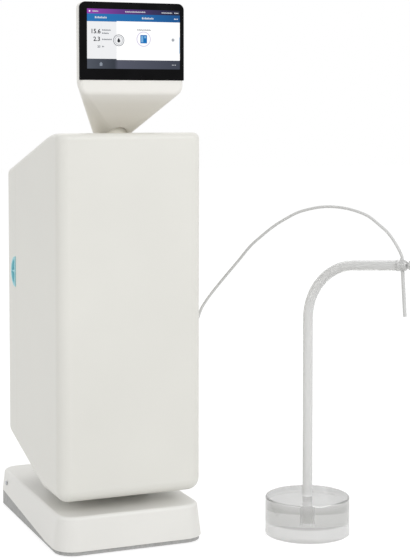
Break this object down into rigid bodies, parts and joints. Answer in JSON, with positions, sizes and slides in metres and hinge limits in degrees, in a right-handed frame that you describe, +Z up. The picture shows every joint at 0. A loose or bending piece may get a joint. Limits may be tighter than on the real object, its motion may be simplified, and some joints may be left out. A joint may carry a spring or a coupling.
{
  "type": "ultrapure water system",
  "caption": "Bench-top ultrapure water unit: cream tower on a flared base, swivelling touch display, rear service door, and a clear stand holding the dispense tube.",
  "frame": {"origin": "under the middle of the base, on the bench plane at the underside of the feet", "axes": "+X to the right seen from the display side, +Y from the display side to the back, +Z up"},
  "size_m": [0.3731, 0.3983, 0.6072],
  "materials": {
    "cream_cover": "fine satin moulded plastic",
    "warm_white": "fine satin moulded plastic",
    "tray_grey": "lightly grained moulded plastic",
    "black_glass": "polished, opaque from the front",
    "black_plastic": "satin",
    "rubber_black": "matte",
    "pull_blue": "semi-gloss",
    "clear_acrylic": "polished clear acrylic",
    "clear_quartz": "polished",
    "clear_plastic": "clear moulded",
    "clear_tube": "translucent tubing",
    "acetal_white": "machined",
    "board_green": "printed circuit board",
    "steel_plain": "plain sheet",
    "steel_bright": "polished",
    "dark_metal": "satin coated",
    "brass_plain": "plain"
  },
  "bodies": {
    "base_unit": {"rubber_feet": "rubber_black", "base_tray": "tray_grey", "ballast_plate": "dark_metal", "base_cover": "warm_white", "base_bolts": "steel_plain", "column": "tray_grey", "housing_shell": "cream_cover", "housing_screws": "steel_plain", "chassis_plate": "steel_plain", "turret": "cream_cover", "swivel_bush": "acetal_white", "small_screws": "steel_plain", "power_board": "board_green", "control_board": "board_green", "board_standoffs": "brass_plain", "pump_motor": "dark_metal", "pump_head": "acetal_white", "uv_chamber": "steel_bright", "uv_lamp": "clear_quartz", "uv_clamps": "steel_plain", "manifold_block": "acetal_white", "dispense_valve": "dark_metal", "flow_meter": "clear_plastic", "resistivity_cell": "steel_bright", "outlet_fitting": "acetal_white", "internal_tubes": "clear_tube", "cartridge_head": "acetal_white", "purification_cartridge": "warm_white", "cartridge_cradle": "steel_plain", "door_magnets": "dark_metal", "connection_panel": "dark_metal", "power_jack": "rubber_black", "switch_frame": "black_plastic", "hose_fittings": "acetal_white", "hinge_leaves": "steel_plain", "hinge_pins": "steel_bright", "stand_disc": "clear_acrylic", "stand_rod": "clear_acrylic", "tube_holder": "clear_acrylic", "nozzle_tube": "clear_tube", "dispense_tube": "clear_tube"},
    "display_head": {"head_shell": "cream_cover", "touch_glass": "black_glass", "lcd_module": "dark_metal", "display_board": "board_green", "swivel_spindle": "steel_bright", "spindle_nut": "brass_plain", "retaining_ring": "dark_metal"},
    "door": {"service_door": "cream_cover", "door_pull": "pull_blue", "door_leaves": "steel_plain", "magnet_plates": "steel_plain"},
    "rotor": {"pump_rotor": "steel_bright"},
    "turbine": {"flow_turbine": "pull_blue"},
    "plunger": {"valve_plunger": "steel_bright"},
    "collar": {"lock_collar": "pull_blue"},
    "rocker": {"power_rocker": "black_plastic"},
    "thumb_screw": {"clamp_screw": "clear_acrylic"}
  },
  "joints": [
    {"name": "head_swivel", "type": "hinge", "parent": "base_unit", "child": "display_head", "pos_m": [0, -0.06, 0.452], "axis": [0, 0, 1], "range_deg": [-90, 90]},
    {"name": "door_hinge", "type": "hinge", "parent": "base_unit", "child": "door", "pos_m": [0.0877, 0.049, 0.26], "axis": [0, 0, -1], "range_deg": [0, 110]},
    {"name": "collar_turn", "type": "hinge", "parent": "base_unit", "child": "collar", "pos_m": [-0.02, 0.03, 0.367], "axis": [0, 0, 1], "range_deg": [0, 60]},
    {"name": "rocker_tilt", "type": "hinge", "parent": "base_unit", "child": "rocker", "pos_m": [-0.014, 0.0425, 0.062], "axis": [1, 0, 0], "range_deg": [0, 16]},
    {"name": "screw_turn", "type": "hinge", "parent": "base_unit", "child": "thumb_screw", "pos_m": [0.27205, -0.24848, 0.3184], "axis": [0.499, -0.8642, 0.0645], "range_deg": [0, 360]},
    {"name": "rotor_spin", "type": "hinge", "parent": "base_unit", "child": "rotor", "pos_m": [-0.05, -0.042, 0.23], "axis": [0, 0, 1], "continuous": true},
    {"name": "turbine_spin", "type": "hinge", "parent": "base_unit", "child": "turbine", "pos_m": [0.038, -0.048, 0.196], "axis": [0, 1, 0], "continuous": true},
    {"name": "plunger_slide", "type": "slide", "parent": "base_unit", "child": "plunger", "axis": [0, 0, 1], "range_m": [0, 0.0025], "stiffness_N_per_m": 300, "springref_m": -0.004}
  ]
}
